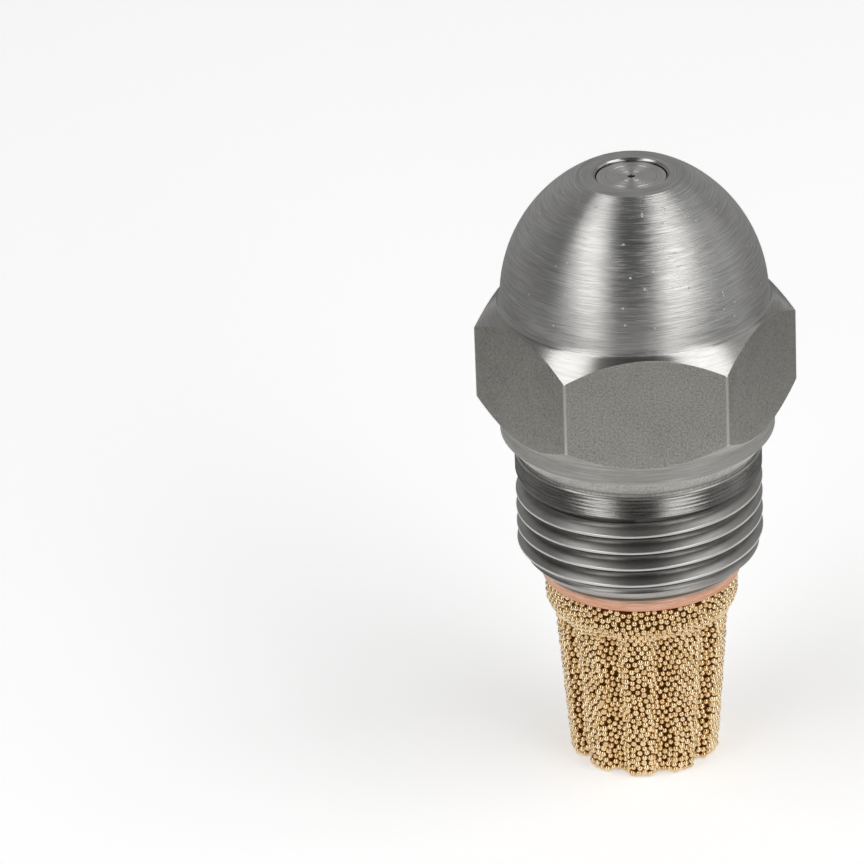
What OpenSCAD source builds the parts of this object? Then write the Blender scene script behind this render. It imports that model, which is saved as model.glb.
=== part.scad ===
// Oil burner nozzle: a steel spray nozzle with a sintered bronze filter on its inlet.
// It stands on the filter with the spray end up, and +Z points the way the oil flows.
// The origin is the middle of the filter's closed bottom. Sizes are in millimetres.

/* [Filter] */
// Height of the filter
filter_h = 11.8; // [10:0.1:16]
// Height of the plain band at the filter's mouth
filter_band_h = 1.5; // [1:0.1:2.2]
// Height of the slope from the band down to the neck
filter_shoulder_h = 0.9; // [0.5:0.1:1.4]
// Diameter of the band at the mouth
filter_mouth_d = 11.3; // [10.6:0.1:11.6]
// Diameter of the neck under that slope
filter_neck_d = 10.3; // [9.8:0.1:10.6]
// Diameter at the closed end
filter_tip_d = 8.9; // [8.2:0.1:9.6]
// Chamfer round the closed end
filter_tip_chamfer = 0.25; // [0.1:0.05:0.5]
// Number of flutes
flute_count = 10; // [6:1:14]
// Angle of the first flute, as the filter stands when it is screwed tight
flute_turn = 28; // [0:1:36]
// Depth of a flute
flute_depth = 0.55; // [0.3:0.05:0.6]
// Radius of a flute's round bottom
flute_r = 0.6; // [0.4:0.01:0.75]
// Diameter of the hollow that the oil is drawn into
filter_hollow_d = 4.6; // [3.6:0.1:5.2]
// Thickness of the closed end
filter_floor = 1.8; // [1:0.1:3]

/* [Sealing washer] */
// Outside diameter of the washer
washer_d = 11.6; // [11:0.1:12.4]
// Thickness of the washer
washer_t = 0.7; // [0.5:0.05:1.2]
// Gap between the washer's hole and the thread that passes it
washer_hole_gap = 0.25; // [0.1:0.05:0.5]
// Chamfer on the washer's edges
washer_edge = 0.1; // [0.05:0.01:0.2]

/* [Filter nipple] */
// Diameter of the thread that the nipple and the lock screw share
inner_thread_d = 8; // [7.6:0.1:8.6]
// Pitch of that thread
inner_pitch = 1; // [0.75:0.05:1.25]
// Gap between a screw's thread and the tapped hole, on the radius
thread_gap = 0.12; // [0.08:0.01:0.16]
// Length of the nipple's thread
nipple_thread_len = 5.4; // [4:0.1:7]
// Height of the first thread above the washer
nipple_neck_h = 0.3; // [0.1:0.05:0.8]
// Diameter of the plain spigot pressed into the filter
nipple_spigot_d = 6.2; // [5.8:0.1:6.4]
// Length of the spigot inside the filter
nipple_spigot_len = 3.6; // [2.5:0.1:5]
// Gap left between spigot and filter after pressing, on the radius
spigot_fit = 0.01; // [0.005:0.005:0.02]
// Diameter of the oil hole through the nipple
nipple_hole_d = 3.4; // [2.6:0.1:4]

/* [Holder thread] */
// Outside diameter of the thread that screws into the nozzle holder
holder_thread_d = 14.288; // [13.6:0.004:15]
// Pitch of the holder thread
holder_pitch = 1.0583; // [0.9:0.0001:1.3]
// Angle at which the holder thread's turns start
holder_thread_turn = 130; // [0:5:355]
// Length of the holder thread with its chamfered end
holder_thread_len = 6.05; // [5:0.05:9]
// Diameter of the end face that presses on the washer
holder_end_d = 11.8; // [11.4:0.1:12.6]
// Depth of the run-out groove between thread and land
runout_depth = 0.58; // [0.4:0.02:0.8]
// Length of the plain land above the thread
land_len = 1.35; // [1:0.05:2.5]
// Depth of the undercut above the land
undercut_depth = 0.2; // [0.1:0.05:0.4]
// Width of the undercut
undercut_w = 0.12; // [0.08:0.02:0.4]

/* [Hexagon] */
// Width across the flats
hex_af = 16; // [15.6:0.1:18]
// Height of a flat at its middle
hex_h = 6.8; // [5:0.05:10]
// Height of the round collar under the hexagon
collar_h = 0.95; // [0.5:0.05:2]
// Height of the cone from the collar down to the undercut
collar_cone_h = 1.13; // [0.6:0.01:2]
// How far the collar lies inside the flats
collar_step = 0.08; // [0.04:0.02:0.3]

/* [Dome] */
// Height of the dome above the hexagon's shoulder
dome_h = 7.65; // [6.5:0.05:10]
// How far the foot of the dome lies inside the flats
dome_step = 0.3; // [0.15:0.05:0.6]
// Fillet at the foot of the dome
dome_fillet = 0.25; // [0.1:0.05:0.5]
// Diameter of the flat spray face
spray_face_d = 6.2; // [5.4:0.1:7]
// Thickness of the lip that holds the orifice plate
lip_t = 1.05; // [0.8:0.05:1.4]
// Diameter of the hole in the lip
spray_hole_d = 4.1; // [3.4:0.1:4.6]
// Bevel on the edge of that hole
spray_hole_bevel = 0.1; // [0.05:0.01:0.2]

/* [Orifice plate] */
// Depth of the plate's face below the spray face
plate_recess = 0.16; // [0.1:0.02:0.4]
// Thickness of the plate's flange
plate_flange_t = 1.2; // [0.9:0.05:1.8]
// Gap round the plate and the distributor in their bore, on the radius
insert_gap = 0.05; // [0.02:0.01:0.08]
// Diameter of the spray orifice
orifice_d = 0.3; // [0.16:0.02:0.5]
// Diameter of the conical swirl chamber at the plate's back
chamber_d = 3.8; // [3.2:0.1:4.2]

/* [Swirl distributor] */
// Height of the distributor below the plate
distributor_h = 4.4; // [3:0.1:6]
// Diameter of the flat on the tip of its nose
nose_tip_d = 1; // [0.8:0.05:1.4]
// Gap between the nose and the swirl chamber, square to the cone
nose_gap = 0.06; // [0.03:0.01:0.1]
// Width of the rim that rests on the plate
rim_w = 0.65; // [0.5:0.05:0.8]
// Depth of the ring channel inside the rim
channel_depth = 0.5; // [0.3:0.05:0.6]
// Number of feed grooves down the side, and of slots in the nose
slot_count = 4; // [3:1:6]
// Radius of a feed groove
feed_groove_r = 0.75; // [0.7:0.05:0.9]
// Width of a slot in the nose
slot_w = 0.3; // [0.2:0.02:0.4]
// Depth of a slot in the nose
slot_depth = 0.3; // [0.2:0.02:0.4]
// Offset of a slot from the middle, which makes the oil spin
slot_offset = 0.3; // [0.1:0.05:0.35]

/* [Lock screw] */
// Length of the lock screw
lock_screw_len = 6; // [5:0.1:7]
// Length of its plain pilot
pilot_len = 1.6; // [1.4:0.1:2.2]
// Diameter of the pilot
pilot_d = 6.2; // [5.6:0.1:6.4]
// Diameter of the oil hole up its middle
lock_hole_d = 3; // [2:0.1:3.6]
// Thickness left between that hole and the distributor
lock_end_t = 0.6; // [0.4:0.05:0.8]
// Diameter of the cross holes through the pilot
cross_hole_d = 0.8; // [0.5:0.05:0.9]
// Width of the screwdriver slot
driver_slot_w = 1.2; // [0.8:0.1:1.6]
// Depth of the screwdriver slot
driver_slot_depth = 1.3; // [0.8:0.1:2]

/* [Tapped hole] */
// Height of the relief groove above the lock screw's thread
relief_rise = 0.5; // [0.3:0.05:0.9]
// Width of the relief groove at the end of the tapped hole
relief_w = 0.6; // [0.4:0.05:1]
// Depth of the plain counterbore at the mouth of the tapped hole
mouth_depth = 0.6; // [0.4:0.05:1]
// How far the relief groove and the counterbore lie outside the thread
relief_step = 0.2; // [0.1:0.05:0.4]

/* [Hidden] */
$fn = 96;

// Extra reach of a cut past the face that it opens
over = 0.5;

// Heights of the outside, from the filter's bottom to the spray face
washer_z = filter_h;
body_z = washer_z + washer_t;
land_z = body_z + holder_thread_len;
undercut_z = land_z + land_len;
cone_z = undercut_z + undercut_w;
collar_z = cone_z + collar_cone_h;
hex_z = collar_z + collar_h + collar_step;
hex_top_z = hex_z + hex_h;
dome_z = hex_top_z + dome_step;
spray_z = dome_z + dome_h;

// Radii of the outside
land_r = holder_thread_d / 2;
collar_r = hex_af / 2 - collar_step;
dome_r = hex_af / 2 - dome_step;
hex_corner_r = hex_af / sqrt(3);
bulge_r = hex_corner_r + over;
spray_face_r = spray_face_d / 2;
runout_r = land_r - runout_depth;

// The dome's arc stands upright at its foot and ends at the spray face
dome_rise = dome_r - spray_face_r;
dome_arc_r = (dome_rise ^ 2 + dome_h ^ 2) / (2 * dome_rise);
dome_arc_x = dome_r - dome_arc_r;
dome_steps = 30;
fillet_steps = 4;
fillet_reach = dome_fillet * tan(22.5);

// Form of a 60 degree thread, as shares of its pitch
crest_share = 1 / 8;
root_share = 1 / 4;
flank_share = (1 - crest_share - root_share) / 2;
depth_share = 0.5413;
thread_marks = [0, crest_share, crest_share + flank_share, 1 - flank_share];
thread_columns = 36;

// The bore that the plate and the distributor are passed through
tap_r = inner_thread_d / 2;
tap_minor_r = tap_r - depth_share * inner_pitch;
screw_r = tap_r - thread_gap;
screw_end_r = screw_r - depth_share * inner_pitch;
relief_r = tap_r + relief_step;
insert_bore_r = tap_minor_r - insert_gap;
insert_r = insert_bore_r - insert_gap;

// Heights of the inside, from the lip down to the lock screw's end
seat_z = spray_z - lip_t;
plate_z = seat_z - plate_flange_t;
plate_face_z = spray_z - plate_recess;
distributor_z = plate_z - distributor_h;
lock_screw_z = distributor_z - lock_screw_len;
pilot_z = distributor_z - pilot_len;
relief_z = pilot_z + relief_rise;
nipple_thread_z = body_z + nipple_neck_h;
nipple_top_z = nipple_thread_z + nipple_thread_len;
spigot_z = filter_h - nipple_spigot_len;

// The swirl chamber and the nose in it are cones of 45 degrees
chamber_r = chamber_d / 2;
orifice_r = orifice_d / 2;
orifice_z = plate_z + chamber_r - orifice_r;
nose_r = chamber_r - nose_gap * sqrt(2);
nose_foot_r = nose_r + channel_depth;
nose_tip_r = nose_tip_d / 2;
nose_tip_z = plate_z + nose_r - nose_tip_r;

// The flutes follow the filter's taper and run out halfway up the slope under the band
band_z = filter_h - filter_band_h;
neck_z = band_z - filter_shoulder_h;
filter_taper = atan((filter_neck_d - filter_tip_d) / 2 / neck_z);
flute_len = (neck_z + filter_shoulder_h / 2) / cos(filter_taper);

// Share of the thread's depth that is cut away at place u of one pitch
function thread_drop(u) =
    u < crest_share ? 0
    : u < crest_share + flank_share ? (u - crest_share) / flank_share
    : u < 1 - flank_share ? 1
    : (1 - u) / flank_share;

// Radius of a thread at height z and share t of a turn, under the cones at its two ends
function thread_radius(z, t, r, pitch, z0, z1, r0, r1) =
    let (turns = z / pitch - t)
    let (place = turns - floor(turns))
    min(r - depth_share * pitch * thread_drop(place), r0 + z - z0, r1 + z1 - z);

// A right-hand thread with its core, from z0 to z1. Its rows of points follow the helix and
// close on a flat ring at each end, where the radius starts from r0 and r1 at 45 degrees.
module screw_thread(r, pitch, z0, z1, r0, r1) {
    first = floor(z0 / pitch) - 1;
    last = ceil(z1 / pitch);
    marks = len(thread_marks);
    rows = (last - first + 1) * marks;
    columns = thread_columns;
    function row_z(i, j) = (first + floor(i / marks) + thread_marks[i % marks] + j / columns) * pitch;
    function row_of(i, j) = row_z(i, j) <= z0 ? 0 : row_z(i, j) >= z1 ? rows - 1 : i;
    function at(i, j) = j < columns ? row_of(i, j) * columns + j : at(min(i + marks, rows - 1), 0);
    points = [for (i = [0 : rows - 1], j = [0 : columns - 1])
        let (z = min(max(row_z(i, j), z0), z1), t = j / columns)
        let (radius = thread_radius(z, t, r, pitch, z0, z1, r0, r1))
        [radius * cos(360 * t), radius * sin(360 * t), z]];
    ends = [[0, 0, z0], [0, 0, z1]];
    foot = len(points);
    head = foot + 1;
    lower = [for (i = [0 : rows - 2], j = [0 : columns - 1])
        if (at(i, j + 1) != at(i + 1, j + 1)) [at(i, j), at(i + 1, j + 1), at(i, j + 1)]];
    upper = [for (i = [0 : rows - 2], j = [0 : columns - 1])
        if (at(i, j) != at(i + 1, j)) [at(i, j), at(i + 1, j), at(i + 1, j + 1)]];
    foot_fan = [for (j = [0 : columns - 1]) [foot, at(0, j), at(0, j + 1)]];
    head_fan = [for (j = [0 : columns - 1]) [head, at(rows - 1, j + 1), at(rows - 1, j)]];
    polyhedron(concat(points, ends), concat(lower, upper, foot_fan, head_fan), convexity = 10);
}

// Points of an arc in the plane of a turned outline
function arc(x, z, r, from, to, steps) =
    [for (i = [0 : steps]) let (a = from + (to - from) * i / steps) [x + r * cos(a), z + r * sin(a)]];

module nozzle_body() {
    foot_angle = asin(fillet_reach / dome_arc_r);
    face_angle = acos((spray_face_r - dome_arc_x) / dome_arc_r);
    hex_slope = bulge_r - hex_af / 2;
    color("lightslategray")
    difference() {
        union() {
            intersection() {
                rotate_extrude()
                    polygon(concat(
                        [[0, land_z], [land_r, land_z], [land_r, undercut_z],
                         [land_r - undercut_depth, undercut_z], [land_r - undercut_depth, cone_z],
                         [collar_r, collar_z], [collar_r, collar_z + collar_h],
                         [bulge_r, hex_z + hex_slope], [bulge_r, hex_top_z - hex_slope]],
                        arc(dome_r + dome_fillet, dome_z + fillet_reach, dome_fillet, 225, 180, fillet_steps),
                        arc(dome_arc_x, dome_z, dome_arc_r, foot_angle, face_angle, dome_steps),
                        [[0, spray_z]]));
                cylinder(r = hex_corner_r, h = spray_z + over, $fn = 6);
            }
            rotate(holder_thread_turn)
                screw_thread(land_r, holder_pitch, body_z, land_z + over, holder_end_d / 2, runout_r - over);
        }
        translate([0, 0, seat_z - over])
            cylinder(d = spray_hole_d, h = lip_t + 2 * over);
        translate([0, 0, spray_z - spray_hole_bevel])
            cylinder(d1 = spray_hole_d, d2 = spray_hole_d + 2 * (spray_hole_bevel + over),
                h = spray_hole_bevel + over);
        translate([0, 0, relief_z])
            cylinder(r = insert_bore_r, h = seat_z - relief_z);
        translate([0, 0, relief_z])
            cylinder(r = relief_r, h = relief_w);
        screw_thread(tap_r, inner_pitch, body_z + mouth_depth / 2, relief_z + relief_w / 2, tap_r, tap_r);
        translate([0, 0, body_z - over])
            cylinder(r = relief_r, h = mouth_depth + over);
    }
}

module orifice_plate() {
    boss_r = spray_hole_d / 2 - insert_gap;
    color("silver")
    rotate_extrude()
        polygon([[chamber_r, plate_z], [insert_r, plate_z], [insert_r, seat_z], [boss_r, seat_z],
            [boss_r, plate_face_z], [orifice_r, plate_face_z], [orifice_r, orifice_z]]);
}

module swirl_distributor() {
    rim_r = insert_r - rim_w;
    slot_len = (nose_foot_r - nose_tip_r) * sqrt(2);
    color("gainsboro")
    difference() {
        rotate_extrude()
            polygon([[0, distributor_z], [insert_r, distributor_z], [insert_r, plate_z], [rim_r, plate_z],
                [rim_r, plate_z - channel_depth], [nose_foot_r, plate_z - channel_depth],
                [nose_tip_r, nose_tip_z], [0, nose_tip_z]]);
        for (i = [0 : slot_count - 1])
            rotate(360 / slot_count * (i + 0.5))
                translate([insert_r, 0, distributor_z - over])
                    cylinder(r = feed_groove_r, h = distributor_h + 2 * over);
        for (i = [0 : slot_count - 1])
            rotate(360 / slot_count * i)
                translate([nose_foot_r, slot_offset - slot_w / 2, plate_z - channel_depth])
                    rotate([0, -135, 0])
                        translate([0, 0, -over])
                            cube([slot_len + over, slot_w, slot_depth + over]);
    }
}

module lock_screw() {
    color("darkgray")
    difference() {
        union() {
            screw_thread(screw_r, inner_pitch, lock_screw_z, pilot_z, screw_end_r, screw_end_r);
            translate([0, 0, pilot_z - over])
                cylinder(d = pilot_d, h = pilot_len + over);
        }
        translate([0, 0, lock_screw_z - over])
            cylinder(d = lock_hole_d, h = lock_screw_len - lock_end_t + over);
        for (turn = [0, 90])
            translate([0, 0, distributor_z - lock_end_t - cross_hole_d / 2])
                rotate([0, 90, turn])
                    cylinder(d = cross_hole_d, h = inner_thread_d, center = true);
        translate([-tap_r, -driver_slot_w / 2, lock_screw_z - over])
            cube([inner_thread_d, driver_slot_w, driver_slot_depth + over]);
    }
}

module sealing_washer() {
    hole_r = tap_r + washer_hole_gap;
    rim_r = washer_d / 2;
    top_z = washer_z + washer_t;
    color("peru")
    rotate_extrude()
        polygon([[hole_r + washer_edge, washer_z], [rim_r - washer_edge, washer_z],
            [rim_r, washer_z + washer_edge], [rim_r, top_z - washer_edge],
            [rim_r - washer_edge, top_z], [hole_r + washer_edge, top_z],
            [hole_r, top_z - washer_edge], [hole_r, washer_z + washer_edge]]);
}

module filter_nipple() {
    color("goldenrod")
    difference() {
        union() {
            screw_thread(screw_r, inner_pitch, nipple_thread_z, nipple_top_z, screw_end_r, screw_end_r);
            translate([0, 0, spigot_z])
                cylinder(d = nipple_spigot_d, h = nipple_thread_z - spigot_z + over);
        }
        translate([0, 0, spigot_z - over])
            cylinder(d = nipple_hole_d, h = nipple_top_z - spigot_z + 2 * over);
    }
}

module sintered_filter() {
    tip_r = filter_tip_d / 2;
    color("darkgoldenrod")
    difference() {
        rotate_extrude()
            polygon([[0, 0], [tip_r - filter_tip_chamfer, 0],
                [tip_r, filter_tip_chamfer], [filter_neck_d / 2, neck_z],
                [filter_mouth_d / 2, band_z], [filter_mouth_d / 2, filter_h], [0, filter_h]]);
        for (i = [0 : flute_count - 1])
            rotate(flute_turn + 360 / flute_count * i)
                translate([tip_r - flute_depth + flute_r, 0, 0])
                    rotate([0, filter_taper, 0])
                        translate([0, 0, -over])
                            cylinder(r = flute_r, h = flute_len + over);
        translate([0, 0, filter_floor])
            cylinder(d = filter_hollow_d, h = filter_h);
        translate([0, 0, spigot_z])
            cylinder(r = nipple_spigot_d / 2 + spigot_fit, h = nipple_spigot_len + over);
    }
}

nozzle_body();
orifice_plate();
swirl_distributor();
lock_screw();
sealing_washer();
filter_nipple();
sintered_filter();
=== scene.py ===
from math import acos, atan2, ceil, cos, floor, hypot, pi, radians, sin, sqrt, tan, tau

import bmesh
import bpy
import numpy as np
from mathutils import Matrix, Vector


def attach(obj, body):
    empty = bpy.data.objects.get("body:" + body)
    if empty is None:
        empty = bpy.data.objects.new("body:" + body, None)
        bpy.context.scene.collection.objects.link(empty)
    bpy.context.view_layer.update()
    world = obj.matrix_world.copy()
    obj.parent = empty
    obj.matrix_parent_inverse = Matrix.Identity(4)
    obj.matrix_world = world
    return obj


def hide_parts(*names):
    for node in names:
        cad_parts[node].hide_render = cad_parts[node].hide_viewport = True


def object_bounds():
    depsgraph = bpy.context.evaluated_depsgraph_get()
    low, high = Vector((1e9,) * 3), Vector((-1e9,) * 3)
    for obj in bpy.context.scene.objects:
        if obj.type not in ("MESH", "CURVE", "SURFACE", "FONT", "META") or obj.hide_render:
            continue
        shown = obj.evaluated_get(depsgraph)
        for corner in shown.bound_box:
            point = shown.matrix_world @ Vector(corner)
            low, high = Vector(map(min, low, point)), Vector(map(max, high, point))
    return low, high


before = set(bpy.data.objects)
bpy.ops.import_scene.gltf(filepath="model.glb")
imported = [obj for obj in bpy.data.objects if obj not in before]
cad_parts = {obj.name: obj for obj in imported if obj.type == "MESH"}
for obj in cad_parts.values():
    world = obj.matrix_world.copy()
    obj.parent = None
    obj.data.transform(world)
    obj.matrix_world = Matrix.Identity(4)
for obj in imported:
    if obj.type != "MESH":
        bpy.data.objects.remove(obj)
cad_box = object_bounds()


# Nozzle body: one piece of stainless bar, turned on a lathe to a dome, a collar and a thread.
# The hexagon between them is the bar's own drawn surface, left satin for the spanner.
MM = 0.001
TURNED, BURNISHED, DRAWN, COLLAR, LAND, CUT, UNDER, FACE = range(8)

HEX_FLAT_R = 8.0
HEX_CORNER_R = 2 * HEX_FLAT_R / sqrt(3)
HEX_Z, HEX_TOP_Z = 22.18, 28.98
CORNER_ROUND = 0.1
ARC_EDGE, ARC_PULL = 0.03, 0.199
COLUMNS, CORNER_STEPS = 144, (-0.7, -0.31, -0.16, 0.16, 0.31, 0.7)
EDGE_ROUND = 0.05
DOME_R, DOME_Z, SPRAY_Z, DOME_STEPS = 7.7, 29.28, 36.93, 60
SPRAY_FACE_R, SPRAY_HOLE_R, SPRAY_HOLE_BEVEL = 3.1, 2.05, 0.1
DOME_FILLET, FILLET_STEPS, FILLET_TURNED = 0.87, 12, 8
SEAT_Z, INSERT_BORE_R = 35.88, 3.409
COLLAR_R, COLLAR_Z, COLLAR_TOP_Z, COLLAR_INSET = 7.92, 21.15, 22.10, 0.04
CONE_Z, UNDERCUT_Z, UNDERCUT_R = 20.02, 19.90, 6.944
LAND_R, LAND_Z, RUNOUT_R = 7.144, 18.55, 6.564
LAND_EDGE, LAND_FEED, LAND_TOOTH, LAND_FOOT = 0.06, 0.12, 0.035, 0.04
LAND_RINGS = [0.04, 0.025, 0.05, 0.03, 0.045, 0.025, 0.05, 0.03, 0.04, 0.03]
BODY_Z, END_R = 12.5, 5.9
HOLDER_PITCH, HOLDER_START, HOLDER_CREST = 1.0583, -130 / 360, 0.035
TAP_R, TAP_PITCH, TAP_CREST = 4.0, 1.0, 0.03
MOUTH_R, MOUTH_Z = 4.2, 13.1
RELIEF_Z, RELIEF_TOP_Z = 29.18, 29.78
THREAD_DEPTH, THREAD_GAP = 0.5413, 0.01


class Skin:
    """Rings of points round the Z axis, joined row by row into one closed mesh."""

    def __init__(self, angles):
        self.angles = np.asarray(angles, float)
        self.count = len(self.angles)
        self.points, self.faces, self.finishes = [], [], []
        self.total = 0

    def add(self, radius, height, where=slice(None)):
        """Adds points on the columns named by where, and returns their numbers."""
        angles = self.angles[where]
        radius = np.broadcast_to(radius, self.angles.shape)[where]
        height = np.broadcast_to(height, self.angles.shape)[where]
        self.points.append(np.stack([radius * np.cos(angles), radius * np.sin(angles), height], 1))
        numbers = np.arange(len(angles)) + self.total
        self.total += len(angles)
        return numbers

    def ring(self, radius, height):
        """One ring, with its first point's number again at the end."""
        numbers = self.add(radius, height)
        return np.append(numbers, numbers[0])

    def pole(self, height):
        """A point on the axis, standing for a whole ring."""
        self.points.append(np.array([[0.0, 0.0, height]]))
        self.total += 1
        return np.full(self.count + 1, self.total - 1)

    def join(self, one, other, finish):
        for j in range(self.count):
            loop = list(dict.fromkeys((one[j], other[j], other[j + 1], one[j + 1])))
            if len(loop) > 2:
                self.faces.append(loop)
                self.finishes.append(finish)

    def turn(self, outline, finish, last=None):
        """Rings along an outline of (radius, height), from the ring last if there is one."""
        for radius, height in outline:
            row = self.ring(radius, height)
            if last is not None:
                self.join(last, row, finish)
            last = row
        return last

    def thread(self, form, pitch, start, bottom, top, limit, finish, under):
        """A right-hand thread between two flat rings; form is its (share of a pitch, radius).
        The last three strips of a pitch, which face down, take the finish under."""
        turns = self.angles / tau
        shares, radii = (np.array(v) for v in zip(*form))
        around = np.append(shares, 1.0), np.append(radii, radii[0])

        def edge(z):
            return np.minimum(np.interp((z / pitch - turns - start) % 1.0, *around), limit(z))

        low, high = self.ring(edge(bottom), bottom), self.ring(edge(top), top)
        first, last = floor(bottom / pitch - start) - 2, ceil(top / pitch - start) + 1
        rows = []
        for level in range(first, last + 1):
            for share, radius in zip(shares, radii):
                z = (level + share + turns + start) * pitch
                row = np.where(z < bottom + THREAD_GAP, low[:-1], high[:-1])
                inside = (z >= bottom + THREAD_GAP) & (z <= top - THREAD_GAP)
                row[inside] = self.add(np.minimum(radius, limit(z)), z, inside)
                rows.append(row)
        closing = [row[0] for row in rows[len(shares):]] + [high[0]] * len(shares)
        rows = [np.append(row, end) for row, end in zip(rows, closing)]
        for k, (one, other) in enumerate(zip(rows, rows[1:])):
            self.join(one, other, finish if k % len(shares) < len(shares) - 3 else under)
        return low, high

    def piece(self, name, finishes, sharp=34):
        """The finished object, with its materials in the order of the finish numbers."""
        mesh = bpy.data.meshes.new(name)
        mesh.from_pydata(np.concatenate(self.points) * MM, [], self.faces)
        for material in finishes:
            mesh.materials.append(material)
        mesh.polygons.foreach_set("material_index", self.finishes)
        shell = bmesh.new()
        shell.from_mesh(mesh)
        loose = [v for v in shell.verts if not v.link_faces]
        bmesh.ops.delete(shell, geom=loose, context="VERTS")
        bmesh.ops.recalc_face_normals(shell, faces=shell.faces)
        shell.to_mesh(mesh)
        shell.free()
        mesh.shade_smooth()
        mesh.set_sharp_from_angle(angle=radians(sharp))
        made = bpy.data.objects.new(name, mesh)
        bpy.context.scene.collection.objects.link(made)
        return made


def softened(outline, radius, steps=3, closed=False):
    """The outline with rounded corners, and a point on either side that keeps the faces flat."""
    points = [np.array(p, float) for p in outline]
    if closed:
        points = [points[-1], *points, points[0]]
    made = [] if closed else [points[0]]
    for before, corner, after in zip(points, points[1:], points[2:]):
        back, ahead = before - corner, after - corner
        back_len, ahead_len = np.linalg.norm(back), np.linalg.norm(ahead)
        back, ahead = back / back_len, ahead / ahead_len
        bend = pi - acos(np.clip(back @ ahead, -1, 1))
        if bend < 0.06:
            made.append(corner)
            continue
        reach = min(radius * tan(bend / 2), 0.24 * back_len, 0.24 * ahead_len)
        middle = (back + ahead) / np.linalg.norm(back + ahead)
        centre = corner + middle * hypot(reach, reach / tan(bend / 2))
        spokes = corner + back * reach - centre, corner + ahead * reach - centre
        made.append(corner + back * 2 * reach)
        for i in range(steps + 1):
            share = i / steps
            weights = sin((1 - share) * bend) / sin(bend), sin(share * bend) / sin(bend)
            made.append(centre + weights[0] * spokes[0] + weights[1] * spokes[1])
        made.append(corner + ahead * 2 * reach)
    return made if closed else made + [points[-1]]


def thread_form(radius, pitch, crest_round, steps):
    """One pitch of a 60 degree thread as (share, radius), with soft crests and a round root."""
    depth = THREAD_DEPTH * pitch
    crest, flank = pitch / 8, pitch * 0.3125
    crests = softened([(-flank, radius - depth), (0, radius), (crest, radius),
                       (crest + flank, radius - depth)], crest_round, steps)[1:-1]
    root_r = sqrt(3) / 8 * pitch
    middle = (crest + pitch) / 2
    roots = [(middle + root_r * sin(a), radius - depth + root_r * (1 - cos(a)))
             for a in np.linspace(-pi / 3, pi / 3, 2 * steps + 3)]
    shift = crests[0][0]
    return [((z - shift) / pitch, r) for z, r in crests + roots], shift / pitch


def hexagon_radius(angles):
    """Distance from the axis to the hexagon's side, with its corners lightly rounded."""
    from_corner = np.abs((angles + pi / 6) % (pi / 3) - pi / 6)
    side = HEX_FLAT_R / np.cos(pi / 6 - from_corner)
    centre = HEX_CORNER_R - CORNER_ROUND / cos(pi / 6)
    offset = centre * np.sin(from_corner)
    arc = centre * np.cos(from_corner) + np.sqrt(np.maximum(CORNER_ROUND ** 2 - offset ** 2, 0))
    return np.where(offset < CORNER_ROUND / 2, np.minimum(arc, side), side)


even_columns = [radians(360 / COLUMNS * i) for i in range(COLUMNS)]
corner_columns = [radians(60 * i + step) for i in range(6) for step in CORNER_STEPS]
body = Skin(sorted(angle % tau for angle in even_columns + corner_columns))

dome_rise = DOME_R - SPRAY_FACE_R
dome_h = SPRAY_Z - DOME_Z
dome_arc_r = (dome_rise ** 2 + dome_h ** 2) / (2 * dome_rise)
dome_arc_x = DOME_R - dome_arc_r
face_angle = acos((SPRAY_FACE_R - dome_arc_x) / dome_arc_r)
# The fillet touches the dome's arc and the shoulder, which falls at 45 degrees.
fillet_reach = dome_arc_r + DOME_FILLET
fillet_sum = dome_arc_r + DOME_FILLET * sqrt(2)
fillet_x = (fillet_sum + sqrt(2 * fillet_reach ** 2 - fillet_sum ** 2)) / 2
fillet_z = fillet_sum - fillet_x
foot_angle = atan2(fillet_z, fillet_x)
dome = [(dome_arc_x + dome_arc_r * cos(a), DOME_Z + dome_arc_r * sin(a))
        for a in np.linspace(face_angle, foot_angle, DOME_STEPS)]
dome_foot = [(dome_arc_x + fillet_x + DOME_FILLET * cos(a), DOME_Z + fillet_z + DOME_FILLET * sin(a))
             for a in np.linspace(pi + foot_angle, pi * 1.25, FILLET_STEPS + 1)[1:]]

seat = body.ring(INSERT_BORE_R, SEAT_Z)
bevel_r = SPRAY_HOLE_R + SPRAY_HOLE_BEVEL
lip = softened([(INSERT_BORE_R, SEAT_Z), (SPRAY_HOLE_R, SEAT_Z), (SPRAY_HOLE_R, SPRAY_Z - SPRAY_HOLE_BEVEL),
                (bevel_r, SPRAY_Z), dome[0], dome[2]], EDGE_ROUND)
row = body.turn([p for p in lip[1:-1] if p[0] < bevel_r], BURNISHED, seat)
row = body.turn([p for p in lip[1:-1] if p[0] >= bevel_r], FACE, row)
row = body.turn(dome[2:] + dome_foot[:FILLET_TURNED], TURNED, row)
row = body.turn(dome_foot[FILLET_TURNED:], BURNISHED, row)

side_r = hexagon_radius(body.angles)
arc_top = HEX_TOP_Z - (side_r - HEX_FLAT_R)
arc_low = HEX_Z + (side_r - HEX_FLAT_R)
slant = ARC_EDGE / sqrt(2)
pull_r, pull_z = ARC_EDGE * ARC_PULL * cos(pi / 8), ARC_EDGE * ARC_PULL * sin(pi / 8)
foot_r, foot_z = dome_foot[-1]
for share in (0.35, 0.7):
    shoulder_r = foot_r + (side_r - 2 * slant - foot_r) * share
    row = body.turn([(shoulder_r, foot_z + foot_r - shoulder_r)], BURNISHED, row)
row = body.turn([(side_r - 2 * slant, arc_top + 2 * slant),
                 (side_r - slant, arc_top + slant)], BURNISHED, row)
row = body.turn([(side_r - pull_r, arc_top - pull_z), (side_r, arc_top - ARC_EDGE)], DRAWN, row)
flat_top, flat_fall = arc_top - 2 * ARC_EDGE, arc_low - arc_top + 4 * ARC_EDGE
for share in np.linspace(0, 1, 11):
    row = body.turn([(side_r, flat_top + flat_fall * share)], DRAWN, row)
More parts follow.
